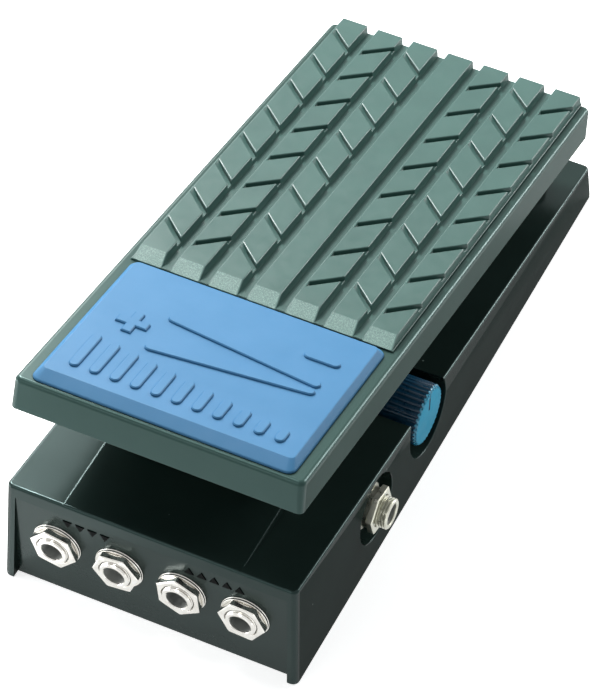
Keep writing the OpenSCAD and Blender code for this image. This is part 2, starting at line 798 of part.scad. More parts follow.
module min_volume_knob() {
    flute_r = 0.5;
    color("#3593c4") translate([0, knob_y0, knob_z]) difference() {
        translate([knob_in_x, 0, 0]) rotate([0, 90, 0]) rotate_extrude()
            polygon([[0, 0], [knob_r - 0.3, 0], [knob_r, 0.3],
                     [knob_r, knob_out_x - knob_in_x - 0.9],
                     [knob_r - 1.1, knob_out_x - knob_in_x], [0, knob_out_x - knob_in_x]]);
        bar_x(knob_in_x - 1, shaft_end_x + 0.2, pot_shaft_r + seat_gap);
        for (i = [0 : knob_flutes - 1]) rotate([i * 360 / knob_flutes, 0, 0])
            translate([0, 0, knob_r + 0.1]) bar_x(knob_in_x - 1, knob_out_x + 1, flute_r);
        // index line across the face
        translate([knob_out_x - 0.5, -0.5, 2.5]) cube([1, 1, knob_r]);
    }
}

// ---------- treadle ----------

module treadle_outer() {
    side = treadle_w / 2 - treadle_corner_r;
    hull() for (sx = [-1, 1], end = [0, 1]) {
        translate([sx * side, treadle_corner_r + end * (treadle_l - 2 * treadle_corner_r), 0])
            soft_disc(treadle_corner_r, treadle_edge_r);
        translate([sx * (side + treadle_draft),
                   treadle_corner_r + end * (treadle_l - 2 * treadle_corner_r), -treadle_t])
            cylinder(h = 0.5, r = treadle_corner_r, $fn = hull_fn);
    }
}

// One lug that takes the axle
module treadle_lug() {
    translate([0, pivot_l, pivot_t]) bar_x(lug_in, lug_out, lug_r);
    translate([lug_in, pivot_l - lug_r, pivot_t])
        cube([lug_t, 2 * lug_r, -treadle_skin / 2 - pivot_t]);
}

module treadle() {
    x = treadle_w / 2 - treadle_wall;
    color(cast) on_treadle() difference() {
        union() {
            difference() {
                treadle_outer();
                translate([-x, treadle_wall, -treadle_t - 1])
                    cube([2 * x, treadle_l - 2 * treadle_wall, treadle_t + 1 - treadle_skin]);
            }
            // cross ribs; the first and last one land on the bumpers
            for (l = [toe_rib_l, heel_rib_l])
                translate([-x - eps, l - stop_rib_t / 2, -treadle_t])
                    cube([2 * x + 2 * eps, stop_rib_t, treadle_t - treadle_skin / 2]);
            for (l = cross_rib_places)
                translate([-x - eps, l - 1, -treadle_t + 3])
                    cube([2 * x + 2 * eps, 2, treadle_t - 3 - treadle_skin / 2]);
            // long ribs
            for (s = [-1, 1])
                translate([s * 14 - 1, toe_rib_l, -treadle_t + 3])
                    cube([2, heel_rib_l - toe_rib_l, treadle_t - 3 - treadle_skin / 2]);
            for (s = [0, 1]) mirror([s, 0, 0]) treadle_lug();
            // bosses for the sector's screws
            for (s = [-1, 1]) translate([s * sector_screw_x, sector_l, foot_z])
                cylinder(h = sector_boss_h + eps, r = boss_r);
        }
        translate([0, pivot_l, pivot_t]) bar_x(-lug_out - 1, lug_out + 1, axle_r + seat_gap);
        for (s = [-1, 1]) translate([s * sector_screw_x, sector_l, foot_z - eps])
            cylinder(h = 5, r = screw_r + thread_gap);
    }
}

// Where the grooves of a rib lie: the slant is +1, -1 or 0 for a plain rib
rib_slants = [-1, 1, -1, 0, 1, -1, 1];
first_groove = treadle_l - 12.8;
mat_end = treadle_l - 0.8;
groove_count = floor((first_groove - mat_start - rib_ramp_l - rib_w) / groove_pitch) + 1;

// A tread rib without its grooves: tapered sides and a ramp at the toe end
module tread_rib() {
    low = rib_w / 2 + rib_taper;
    intersection() {
        along_x(-low - 1, low + 1)
            polygon([[mat_start, mat_t - eps], [mat_start + rib_ramp_l, rib_h],
                     [mat_end, rib_h], [mat_end, mat_t - eps]]);
        translate([0, mat_end + 1, 0]) rotate([90, 0, 0]) linear_extrude(mat_end - mat_start + 2)
            polygon([[-low, mat_t - 2 * eps], [-rib_w / 2, rib_h + eps],
                     [rib_w / 2, rib_h + eps], [low, mat_t - 2 * eps]]);
    }
}

// The slanted grooves of a rib, which end at a thin wall on the -X side
module rib_grooves(slant) {
    intersection() {
        for (k = [0 : groove_count - 1])
            translate([0, first_groove - k * groove_pitch, rib_h - groove_depth])
                rotate(slant * 45) translate([-rib_w, -groove_w / 2, 0])
                    cube([2 * rib_w, groove_w, rib_h]);
        translate([-rib_w / 2 + groove_lip, 0, 0]) cube([rib_w + 2, treadle_l, 2 * rib_h]);
    }
}

module tread_mat() {
    edge = mat_w / 2 + rib_taper + 0.4;
    color("#4a655c") on_treadle() {
        translate([-edge, mat_start, 0]) cube([2 * edge, mat_end - mat_start, mat_t]);
        for (i = [0 : 6]) translate([(i - 3) * rib_pitch, 0, 0]) difference() {
            tread_rib();
            if (rib_slants[i] != 0) rib_grooves(rib_slants[i]);
        }
    }
}

// The pad's top face is smaller than its outline by the bevels
module toe_pad() {
    start = treadle_edge_r + 0.1;
    low_r = 2.6;
    top_r = 1.8;
    color("#6f9fdc") on_treadle() hull() for (s = [-1, 1]) {
        for (l = [start + low_r, start + pad_l - low_r])
            translate([s * (pad_w / 2 - low_r), l, 0])
                cylinder(h = 0.6, r = low_r, $fn = hull_fn);
        for (l = [start + pad_front_edge + top_r, start + pad_l - pad_edge - top_r])
            translate([s * (pad_w / 2 - pad_edge - top_r), l, pad_h]) soft_disc(top_r, 0.6);
    }
}

module pivot_axle() {
    color("#c4c6c3") translate([0, 0, pivot_z]) difference() {
        bar_x(-axle_end, axle_end, axle_r);
        for (s = [0, 1]) mirror([s, 0, 0]) difference() {
            bar_x(clip_x, clip_x + clip_t + 0.1, axle_r + 1);
            bar_x(clip_x - 1, clip_x + clip_t + 1, clip_groove_r);
        }
    }
}

module e_clips() {
    color("#5a5d5c") translate([0, 0, pivot_z]) for (s = [0, 1]) mirror([s, 0, 0])
        difference() {
            bar_x(clip_x, clip_x + clip_t, axle_r + 2);
            bar_x(clip_x - 1, clip_x + clip_t + 1, clip_groove_r + seat_gap);
            translate([clip_x - 1, -clip_groove_r, 0])
                cube([clip_t + 2, 2 * clip_groove_r, 2 * axle_r + 4]);
        }
}

module sector_gear() {
    root = sector_r - dedendum;
    first_a = first_tooth * tooth_step - tooth_step / 2;
    last_a = last_tooth * tooth_step + tooth_step / 2;
    mid = 180 + pinion_angle;
    arc = [for (a = [first_a : (last_a - first_a) / 16 : last_a + eps]) a + mid];
    web_l = sector_foot_l / 2 - 0.8;  // the web starts inside the foot's ends
    foot = [treadle_yz(sector_l - web_l, foot_z - 1), treadle_yz(sector_l + web_l, foot_z - 1)];
    lift = [0, pivot_z];
    color("#e9e6da") {
        translate([0, 0, pivot_z]) along_x(-sector_t / 2, sector_t / 2) {
            polygon([each [for (a = arc) polar(root + 0.05, a)],
                     each [for (i = [len(arc) - 1 : -1 : 0]) polar(sector_back_r, arc[i])]]);
            for (i = [first_tooth : last_tooth])
                polygon([polar(root - 2, mid + i * tooth_step),
                         each tooth(sector_teeth, mid + i * tooth_step)]);
            // the web from the foot runs well into the toothed arc
            polygon([foot[0] - lift, polar(root - 0.7, mid + first_a + 0.5),
                     polar(root - 1.5, mid + first_a + 6), polar(sector_back_r + 1.5, mid + first_a + 6),
                     polar(sector_back_r + 0.7, mid + first_a + 0.5), foot[1] - lift]);
        }
        difference() {
            on_treadle() translate([-sector_foot_w / 2, sector_l - sector_foot_l / 2,
                                    foot_z - sector_foot_t])
                cube([sector_foot_w, sector_foot_l, sector_foot_t]);
            on_treadle() for (s = [-1, 1])
                translate([s * sector_screw_x, sector_l, foot_z - sector_foot_t - 1])
                    cylinder(h = sector_foot_t + 2, r = screw_r + 0.2);
        }
    }
}

module sector_screws() {
    color(nickel) on_treadle() for (s = [-1, 1])
        translate([s * sector_screw_x, sector_l, foot_z - sector_foot_t])
            pan_screw(sector_foot_t + 4, 1.5);
}

base_shell();
bottom_plate();
base_pad();
bottom_screws();
toe_bumpers();
heel_bumpers();
pivot_bushings();
front_jack_body(0);  // front_jack_body_1
front_jack_body(1);  // front_jack_body_2
front_jack_body(2);  // front_jack_body_3
front_jack_body(3);  // front_jack_body_4
front_jack_bushing(0);  // front_jack_bushing_1
front_jack_bushing(1);  // front_jack_bushing_2
front_jack_bushing(2);  // front_jack_bushing_3
front_jack_bushing(3);  // front_jack_bushing_4
front_jack_washers();
front_jack_nuts();
jack_board();
side_jack_body();
side_jack_bushing();
side_jack_washer();
side_jack_nut();
pot_bracket();
bracket_screws();
main_pot_body();
main_pot_nut();
min_pot_body();
min_pot_washer();
min_pot_nut();
treadle();
tread_mat();
toe_pad();
pivot_axle();
e_clips();
sector_gear();
sector_screws();
main_pot_shaft();
pinion();
pinion_screw();
min_pot_shaft();
min_volume_knob();
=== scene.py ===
"""Looks of a volume pedal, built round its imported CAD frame. Lengths are in metres."""
import json
import math

import bmesh
import bpy
from mathutils import Matrix, Vector


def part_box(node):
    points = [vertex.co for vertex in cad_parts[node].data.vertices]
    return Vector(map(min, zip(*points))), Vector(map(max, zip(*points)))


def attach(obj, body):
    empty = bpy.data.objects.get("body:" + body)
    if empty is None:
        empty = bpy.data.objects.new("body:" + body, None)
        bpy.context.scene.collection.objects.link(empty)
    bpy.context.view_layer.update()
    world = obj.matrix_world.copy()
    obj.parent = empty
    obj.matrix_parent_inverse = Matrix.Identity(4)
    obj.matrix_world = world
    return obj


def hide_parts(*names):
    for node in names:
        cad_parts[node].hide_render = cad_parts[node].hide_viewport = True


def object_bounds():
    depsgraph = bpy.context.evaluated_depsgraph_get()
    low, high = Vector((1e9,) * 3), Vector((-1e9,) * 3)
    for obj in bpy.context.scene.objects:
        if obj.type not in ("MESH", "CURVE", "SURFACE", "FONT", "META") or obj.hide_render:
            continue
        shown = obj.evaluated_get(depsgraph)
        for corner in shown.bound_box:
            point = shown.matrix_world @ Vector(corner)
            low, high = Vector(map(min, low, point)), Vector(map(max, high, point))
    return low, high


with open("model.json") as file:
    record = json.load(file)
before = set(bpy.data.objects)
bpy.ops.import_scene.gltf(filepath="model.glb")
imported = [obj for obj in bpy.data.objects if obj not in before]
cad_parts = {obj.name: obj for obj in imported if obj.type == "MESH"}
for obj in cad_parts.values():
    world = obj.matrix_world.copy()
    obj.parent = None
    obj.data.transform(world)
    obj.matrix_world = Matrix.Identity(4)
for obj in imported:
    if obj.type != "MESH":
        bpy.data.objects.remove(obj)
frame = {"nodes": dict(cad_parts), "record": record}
scene = bpy.context.scene
cad_box = [list(corner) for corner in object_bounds()]
MM = 0.001
RIGHT, UP = Vector((1, 0, 0)), Vector((0, 0, 1))


# ---------------------------------------------------------------- materials

class Shader:
    """A node material with a few helpers, so that each finish reads as a short recipe."""

    def __init__(self, name, **settings):
        self.material = bpy.data.materials.new(name)
        self.material.use_nodes = True
        self.nodes = self.material.node_tree.nodes
        self.links = self.material.node_tree.links
        self.bsdf = self.nodes["Principled BSDF"]
        for socket, value in settings.items():
            self.bsdf.inputs[socket.replace("_", " ")].default_value = value
        self.place = self.nodes.new("ShaderNodeTexCoord").outputs["Object"]

    def noise(self, size_mm, detail=3.0, roughness=0.5):
        """Noise whose features are about size_mm across."""
        node = self.nodes.new("ShaderNodeTexNoise")
        node.inputs["Scale"].default_value = 1 / (size_mm * MM)
        node.inputs["Detail"].default_value = detail
        node.inputs["Roughness"].default_value = roughness
        self.links.new(self.place, node.inputs["Vector"])
        return node.outputs["Fac"]

    def specks(self, spacing_mm, size):
        """1 in sparse round dots whose radius is size times their spacing, 0 elsewhere."""
        node = self.nodes.new("ShaderNodeTexVoronoi")
        node.inputs["Scale"].default_value = 1 / (spacing_mm * MM)
        self.links.new(self.place, node.inputs["Vector"])
        return self.ramp(node.outputs["Distance"], size * 0.6, size, 1, 0)

    def ramp(self, source, low, high, a=0.0, b=1.0):
        """Maps source from low..high to a..b, held at both ends."""
        node = self.nodes.new("ShaderNodeMapRange")
        node.inputs["From Min"].default_value = low
        node.inputs["From Max"].default_value = high
        node.inputs["To Min"].default_value = a
        node.inputs["To Max"].default_value = b
        self.links.new(source, node.inputs["Value"])
        return node.outputs["Result"]

    def colours(self, factor, first, second):
        """Colour that goes from first to second with the factor."""
        node = self.nodes.new("ShaderNodeMix")
        node.data_type = "RGBA"
        for socket, value in (("A", first), ("B", second)):
            if isinstance(value, tuple):
                node.inputs[socket].default_value = (*value, 1)
            else:
                self.links.new(value, node.inputs[socket])
        self.links.new(factor, node.inputs["Factor"])
        return node.outputs["Result"]

    def sheen_off(self, level, least):
        """Gloss that is full where the surface faces the eye and fades towards grazing."""
        fade_from, fade_to = 0.42, 0.70
        node = self.nodes.new("ShaderNodeLayerWeight")
        node.inputs["Blend"].default_value = 0.5
        self.into(self.ramp(node.outputs["Facing"], fade_from, fade_to, level, least),
                  "Specular IOR Level")

    def tone(self, size_mm, detail, dark, light, low=0.3, high=0.7):
        """Colour that drifts between two close tones."""
        return self.colours(self.ramp(self.noise(size_mm, detail), low, high), dark, light)

    def into(self, source, socket):
        """Feeds a socket of the material's main shader."""
        self.links.new(source, self.bsdf.inputs[socket])

    def vary(self, size_mm, detail, middle, below, above):
        """Roughness that drifts from middle - below to middle + above."""
        self.into(self.ramp(self.noise(size_mm, detail), 0.3, 0.7, middle - below, middle + above),
                  "Roughness")

    def bump(self, source, height_mm):
        """Fine relief of the surface."""
        node = self.nodes.new("ShaderNodeBump")
        node.inputs["Distance"].default_value = height_mm * MM
        node.inputs["Strength"].default_value = 1.0
        self.links.new(source, node.inputs["Height"])
        self.into(node.outputs["Normal"], "Normal")


def enamel(name, dark, light, roughness, grain_mm, gloss, least, dust):
    """Enamel on a casting: soft tone changes, a fine orange-peel and a few dust specks."""
    s = Shader(name, Specular_Tint=(0.64, 1.0, 0.97, 1))
    s.sheen_off(gloss, least)
    tone = s.tone(38, 4, dark, light, 0.35, 0.65)
    s.into(s.colours(s.specks(17, 0.022), tone, dust), "Base Color")
    s.into(s.ramp(s.noise(30, 3), 0.2, 0.8, roughness - 0.03, roughness + 0.03), "Roughness")
    s.bump(s.noise(grain_mm, 2), 0.006)
    return s.material


def moulded(name, dark, light, roughness, grain_mm=0.5, grain=0.01, gloss=0.5, least=0.01):
    """Moulded plastic or rubber with a fine grain."""
    s = Shader(name)
    s.sheen_off(gloss, least)
    s.into(s.tone(14, 5, dark, light), "Base Color")
    s.vary(3, 4, roughness, 0.05, 0.05)
    s.bump(s.noise(grain_mm, 2), grain)
    return s.material


def stippled_painted_glints(name, dark, light, roughness, dot_mm=0.38):
    """Rubber with a coarse stipple whose raised dots are painted lighter: a painted glint over the
    real bump.
    """
    s = Shader(name)
    s.sheen_off(0.5, 0.01)
    s.into(s.colours(s.ramp(s.noise(dot_mm, 2, 0.7), 0.42, 0.66), dark, light), "Base Color")
    s.vary(3, 4, roughness, 0.05, 0.05)
    s.bump(s.noise(dot_mm, 2, 0.7), 0.06)
    return s.material


def plated(name, dark, light, roughness, grain=0.0015):
    """Plated or turned metal, a little uneven."""
    s = Shader(name, Metallic=1.0)
    s.into(s.tone(2.5, 4, dark, light), "Base Color")
    s.vary(1.2, 5, roughness, 0.05, 0.08)
    if grain:
        s.bump(s.noise(0.4, 2), grain)
    return s.material


FINISH = {
    "cast_black": enamel("base_enamel", (0.0100, 0.0190, 0.0165), (0.0130, 0.0235, 0.0205),
                         roughness=0.19, grain_mm=0.9, gloss=0.28, least=0.004,
                         dust=(0.10, 0.13, 0.12)),
    "cast_grey": enamel("treadle_enamel", (0.026, 0.057, 0.049), (0.032, 0.067, 0.058),
                        roughness=0.25, grain_mm=0.7, gloss=0.30, least=0.012,
                        dust=(0.20, 0.28, 0.26)),
    "mat_rubber": moulded("mat_rubber", (0.045, 0.100, 0.088), (0.053, 0.115, 0.101),
                          roughness=0.33, grain_mm=0.45, grain=0.012, gloss=0.35),
    "pad_blue": moulded("pad_blue", (0.055, 0.184, 0.345), (0.066, 0.202, 0.372),
                        roughness=0.42, grain_mm=0.6, grain=0.008, gloss=0.16),
    # The knob's barrel takes this darker blue as painted shade from the treadle above it; its face
    # gets a lighter copy.
    "knob_blue": moulded("knob_blue", (0.004, 0.055, 0.115), (0.006, 0.075, 0.150),
                         roughness=0.30, gloss=0.6, least=0.012),
    "nickel": plated("nickel", (0.66, 0.64, 0.60), (0.78, 0.77, 0.73), roughness=0.17),
    "steel": plated("steel", (0.50, 0.50, 0.49), (0.60, 0.60, 0.59), roughness=0.30),
    "zinc": plated("zinc", (0.44, 0.45, 0.46), (0.56, 0.57, 0.57), roughness=0.38),
    "black_steel": plated("black_steel", (0.045, 0.045, 0.047), (0.07, 0.07, 0.07),
                          roughness=0.35),
    "black_rubber": moulded("black_rubber", (0.014, 0.014, 0.014), (0.022, 0.022, 0.021),
                            roughness=0.62, grain_mm=0.6, grain=0.03),
    "jack_plastic": moulded("jack_plastic", (0.010, 0.010, 0.011), (0.016, 0.016, 0.017),
                            roughness=0.3),
    "acetal": moulded("acetal", (0.72, 0.70, 0.62), (0.78, 0.76, 0.69), roughness=0.4),
    "board_green": moulded("board_green", (0.02, 0.10, 0.04), (0.03, 0.13, 0.055),
                           roughness=0.3),
    "pot_metal": plated("pot_metal", (0.48, 0.48, 0.48), (0.58, 0.58, 0.58), roughness=0.4),
}
# Stippled ramp rubber: its light tone sits on the stipple's bumps as a painted glint.
RAMP_RUBBER_PAINTED_GLINTS = stippled_painted_glints("ramp_rubber_painted_glints", (0.055, 0.118, 0.102), (0.120, 0.215, 0.190), roughness=0.5)
AGED_NICKEL = plated("aged_nickel", (0.50, 0.50, 0.42), (0.60, 0.60, 0.52), roughness=0.30,
                     grain=0.0)
# Lighter copy of the knob's blue for its face and teeth: painted light, since the knob is one
# plastic.
KNOB_FACE_PAINTED_LIGHT = moulded("knob_face_painted_light", (0.018, 0.270, 0.430), (0.028, 0.340, 0.530),
                    roughness=0.34, grain_mm=0.9, grain=0.03, gloss=0.6, least=0.012)
BORE_TIN = moulded("bore_tin", (0.20, 0.21, 0.20), (0.55, 0.56, 0.54), roughness=0.4,
                   grain_mm=0.9)
# The panel marks are moulded in the panel's own colour; this near-black is painted shade, on a
# rougher surface.
MARK_PAINTED_SHADE = moulded("mark_painted_shade", (0.0025, 0.0035, 0.0035), (0.004, 0.005, 0.005),
                     roughness=0.6, gloss=0.06)
SLOT_OF = {s["node"]: s["material_slot"] for s in frame["record"]["subparts"]}
BODY_OF = {n: body for body, names in frame["record"]["behaviour"]["bodies"].items() for n in names}
MOUNTS = {m["name"]: m for m in frame["record"]["mounts"]}


# ---------------------------------------------------------------- pieces

def finish_piece(obj, node, material=None):
    """Gives a piece a material, by default the finish of the CAD node's material slot, and the body
    of that node.
    """
    obj.data.materials.clear()
    obj.data.materials.append(material or FINISH[SLOT_OF[node]])
    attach(obj, BODY_OF[node])


def new_object(name, bm):
    """An object in the scene with a bmesh's form; the bmesh is used up."""
    bmesh.ops.recalc_face_normals(bm, faces=bm.faces)
    mesh = bpy.data.meshes.new(name)
    bm.to_mesh(mesh)
    bm.free()
    obj = bpy.data.objects.new(name, mesh)
    scene.collection.objects.link(obj)
    return obj


def smooth(obj, angle):
    """Smooth shading with sharp edges over the angle, in degrees."""
    for polygon in obj.data.polygons:
        polygon.use_smooth = True
    obj.data.set_sharp_from_angle(angle=math.radians(angle))


def shade(obj, angle=32):
    """Smooth shading in which flat faces keep their own normals."""
    smooth(obj, angle)
    weigh = obj.modifiers.new("shading", "WEIGHTED_NORMAL")
    weigh.keep_sharp = True


def clean_copy(node):
    """A bmesh of a CAD node with its flat faces whole again."""
    weld_mm, flat_angle = 0.002, math.radians(0.4)
    bm = bmesh.new()
    bm.from_mesh(frame["nodes"][node].data)
    bmesh.ops.remove_doubles(bm, verts=bm.verts, dist=weld_mm * MM)
    bmesh.ops.dissolve_limit(bm, angle_limit=flat_angle, verts=bm.verts, edges=bm.edges)
    return bm


def round_edges(bm, width_mm, angle, test=None):
    """Rounds the outer edges that are sharper than the angle and pass the test."""
    edges = [e for e in bm.edges if e.is_manifold and e.is_convex
             and e.calc_face_angle() > math.radians(angle) and (test is None or test(e))]
    if edges:
        bmesh.ops.bevel(bm, geom=edges, offset=width_mm * MM, offset_type="OFFSET", segments=4,
                        profile=0.5, affect="EDGES", clamp_overlap=False, miter_outer="ARC",
                        spread=0.1 * MM)


def dressed(node, name, rounds=(), angle=32, shape=None):
    """A piece with the CAD node's form and rounded outer edges, shown in its place. Each round is
    a width in mm and a test of the edges it is for; shape changes the copy before that."""
    bm = clean_copy(node)
    if shape:
        shape(bm)
    for width_mm, test in rounds:
        round_edges(bm, width_mm, angle, test)
    obj = new_object(name, bm)
    shade(obj)
    finish_piece(obj, node)
    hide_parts(node)
    return obj


def top_frame(node):
    """Frame on a node's largest upward face: X across, Y along it, Z out of it."""
    mesh = frame["nodes"][node].data
    top = max((p for p in mesh.polygons if p.normal.z > 0.9), key=lambda p: p.area)
    level = [p for p in mesh.polygons if p.normal.dot(top.normal) > 0.99999
             and abs((p.center - top.center).dot(top.normal)) < 0.01 * MM]
    corners = [mesh.vertices[i].co for p in level for i in p.vertices]
    out = top.normal.normalized()
    along = out.cross(RIGHT).normalized()
    low = min(c.dot(along) for c in corners)
    high = max(c.dot(along) for c in corners)
    origin = out * top.center.dot(out) + along * low
    turn = Matrix((RIGHT, along, out)).transposed().to_4x4()
    half_width = max(abs(c.x) for c in corners)
    return Matrix.Translation(origin) @ turn, half_width, high - low


def axis_frame(place, axis):
    """Frame with its Z along an axis and its Y upwards."""
    z = Vector(axis).normalized()
    x = UP.cross(z).normalized()
    turn = Matrix((x, z.cross(x), z)).transposed().to_4x4()
    return Matrix.Translation(Vector(place)) @ turn


def turned(name, profile, place):
    """Turns a closed profile round the Z axis of a frame, in mm. A radius is a number, or a
    function of the angle."""
    steps = 72
    bm = bmesh.new()
    rings = []
    for i in range(steps):
        a = 2 * math.pi * i / steps
        ring = []
        for r, z in profile:
            r = r(a) if callable(r) else r
            ring.append(bm.verts.new(place @ (Vector((r * math.cos(a), r * math.sin(a), z)) * MM)))
        rings.append(ring)
    for i in range(steps):
        a, b = rings[i], rings[(i + 1) % steps]
        for j in range(len(profile)):
            k = (j + 1) % len(profile)
            bm.faces.new((a[j], b[j], b[k], a[k]))
    obj = new_object(name, bm)
    smooth(obj, 24)
    return obj


def stroke(start, end, half):
    """Outline of a stroke with round ends between two (x, y) points, in mm."""
    ends = Vector(start), Vector(end)
    outline = []
    for inner, centre in (ends, ends[::-1]):
        way = centre - inner
        for i in range(-3, 4):
            a = math.atan2(way.y, way.x) + i * math.pi / 6
            outline.append(centre + half * Vector((math.cos(a), math.sin(a))))
    return outline


def raised(bm, outline, height, edge, place):
    """Adds a plate with the outline to a bmesh: upright sides and a chamfered top. It is sunk a
    little into the surface that carries it."""
    sunk = 0.3
    points = [Vector(p) for p in outline]
    n = len(points)
    if sum(points[i - 1].cross(points[i]) for i in range(n)) < 0:
        points.reverse()
    inner = []
    for i, p in enumerate(points):
        a = (p - points[i - 1]).normalized()
        b = (points[(i + 1) % n] - p).normalized()
        normal = Vector((-(a + b).y, (a + b).x)).normalized()
        inner.append(p + normal * edge / max(0.5, normal.dot(Vector((-a.y, a.x)))))
    rows = []
    for level, loop in ((-sunk, points), (height - edge, points), (height, inner)):
        rows.append([bm.verts.new(place @ (Vector((p.x, p.y, level)) * MM)) for p in loop])
    for lower, upper in zip(rows, rows[1:]):
        for i in range(n):
            j = (i + 1) % n
            bm.faces.new((lower[i], lower[j], upper[j], upper[i]))
    bm.faces.new(rows[-1])
    bm.faces.new(list(reversed(rows[0])))


def longer(mm):
    """Test for edges longer than this, which leaves facets of curves alone."""
    return lambda e: e.calc_length() > mm * MM


def rim_edge(mm):
    """Test for edges longer than this between an upward face and a side."""
    def test(e):
        rises = [f.normal.z for f in e.link_faces]
        return longer(mm)(e) and min(map(abs, rises)) < 0.5 and max(rises) > 0.9
    return test


def above_foot(mm, foot_mm):
    """Test for edges longer than mm that keep clear of the ground by foot_mm."""
    return lambda e: longer(mm)(e) and min(v.co.z for v in e.verts) > foot_mm * MM


def slope_grooves(bm):
    """The grooves that run towards the toe on their +X side start with a slope."""
    depth, slack, slope = 1.5, 0.2, 2.4
    place = top_frame("tread_mat")[0]
    inverse, turn = place.inverted(), place.to_3x3()
    for face in bm.faces:
        centre = inverse @ face.calc_center_median() / MM
        if face.normal.dot(turn @ UP) < 0.99 or abs(centre.z + depth) >= slack:
            continue
        corners = sorted(face.verts, key=lambda v: v.co.x)
        left, right = corners[:2], corners[-2:]
        along = sum((inverse @ v.co).y for v in right) - sum((inverse @ v.co).y for v in left)
        if along < 0:
            for v in left:
                v.co += turn @ Vector((1, -1, 0)) * (slope * MM)


def stipple_ramps(mat):
    """The ramps at the toe end of the mat's ribs carry a stipple with painted glints."""
    mat.data.materials.append(RAMP_RUBBER_PAINTED_GLINTS)
    out = top_frame("tread_mat")[0].to_3x3() @ UP
    for polygon in mat.data.polygons:
        if 0.7 < polygon.normal.dot(out) < 0.97 and polygon.normal.y < -0.3:
            polygon.material_index = 1


def build_pad_motif():
    """Raised bars that grow along the pad, an opening wedge, a plus and a minus."""
    place, half = top_frame("toe_pad")[:2]
    half = half / MM
    height, chamfer, half_stroke = 0.7, 0.3, 1.5
    bm = bmesh.new()

    def line(start, end):
        raised(bm, stroke(start, end, half_stroke), height, chamfer, place)

    bars, margin, foot, shortest, growth = 11, 6.5, 5.6, 3.0, 1.05
    for i in range(bars):
        x = half - margin - i * 2 * (half - margin) / (bars - 1)
        line((x, foot), (x, foot + shortest + i * growth))
    middle = 30.5
    for sign in (-1, 1):
        line((half - 8, middle + sign * 1.9), (-half + 21, middle + sign * 7.5))
    arm, reach, centre = 1.5, 4.8, -half + 12
    quarter = [(arm, arm), (arm, reach), (-arm, reach)]
    plus = []
    for _ in range(4):
        plus += quarter
        quarter = [(-y, x) for x, y in quarter]
    raised(bm, [(centre + x, middle + y) for x, y in plus], height, chamfer, place)
    line((half - 15, middle + 13), (half - 7, middle + 13))
    motif = new_object("pad_level_mark", bm)
    shade(motif, 40)
    finish_piece(motif, "toe_pad")


# The jacks' turned metal, in mm. Heights are over the outside of the panel or side wall.
BUSHING_R, PLUG_R, NUT_BORE_R = 4.70, 3.27, 4.95
CREST_R, ROOT_R, THREAD_PITCH = 4.72, 4.34, 0.88
FRONT_TOP, SIDE_TOP, WALL = 4.1, 8.6, 2.5
SLEEVE_R, SLEEVE_BORE_R, SLEEVE_FOOT = 3.30, 3.21, -9
SPACER_R, SPACER_TOP = 6.15, 3.15


def points_near(node, place, reach):
    """A node's vertices in a frame, in mm, out to a radius round the frame's Z axis."""
    inverse = place.inverted()
    points = [inverse @ v.co / MM for v in frame["nodes"][node].data.vertices]
    return [p for p in points if p.xy.length < reach]


def hexagon(flat, corner, inset=0.0):
    """Radius of a hexagon with its corners cut to a circle, by angle."""
    def radius(a):
        t = a % (math.pi / 3) - math.pi / 6
        return min((flat - inset) / math.cos(t), corner - inset)
    return radius


def build_nut(name, node, place, metal):
    """A nut that follows the CAD nut on this axis: its size, its place and its turn."""
    points = points_near(node, place, reach=11)
    far = max(points, key=lambda p: p.xy.length)
    corner = far.xy.length
    flat = corner * math.cos(math.pi / 6) * 1.005
    low, high = min(p.z for p in points), max(p.z for p in points)
    outline = [(NUT_BORE_R, low), (hexagon(flat, corner, 0.3), low),
               (hexagon(flat, corner), low + 0.2), (hexagon(flat, corner), high - 0.28),
               (hexagon(flat, corner * 0.985, 0.22), high - 0.05),
               (hexagon(flat, corner * 0.98, 0.32), high), (5.2, high), (NUT_BORE_R, high - 0.22)]
    turn = Matrix.Rotation(math.atan2(far.y, far.x), 4, "Z")
    nut = turned(name, outline, place @ turn)
    finish_piece(nut, node, metal)
    return nut


def thread_profile(top):
    """Half section of a bushing through the wall: thread outside, bore inside."""
    profile = [(BUSHING_R, -WALL)]
    z = 0.4
    while z < top - 1.0:
        profile += [(CREST_R, z), (ROOT_R, z + 0.26), (ROOT_R, z + 0.38), (CREST_R, z + 0.64)]
        z += THREAD_PITCH
    return profile + [(BUSHING_R, top - 0.35), (4.38, top), (3.55, top), (PLUG_R, top - 0.28),
                      (PLUG_R, -WALL)]


def washer_profile(spacer):
    """Half section of a washer with a smaller one on it, and a spacer on both where asked."""
    profile = [(NUT_BORE_R, 0.02), (7.35, 0.02), (7.45, 0.12), (7.45, 0.50), (7.30, 0.62),
               (6.75, 0.64), (6.75, 0.74), (7.15, 0.76), (7.25, 0.86), (7.25, 1.08), (7.12, 1.18)]
    if spacer:
        return profile + [(SPACER_R, 1.20), (SPACER_R, SPACER_TOP), (NUT_BORE_R, SPACER_TOP)]
    return profile + [(NUT_BORE_R, 1.18)]


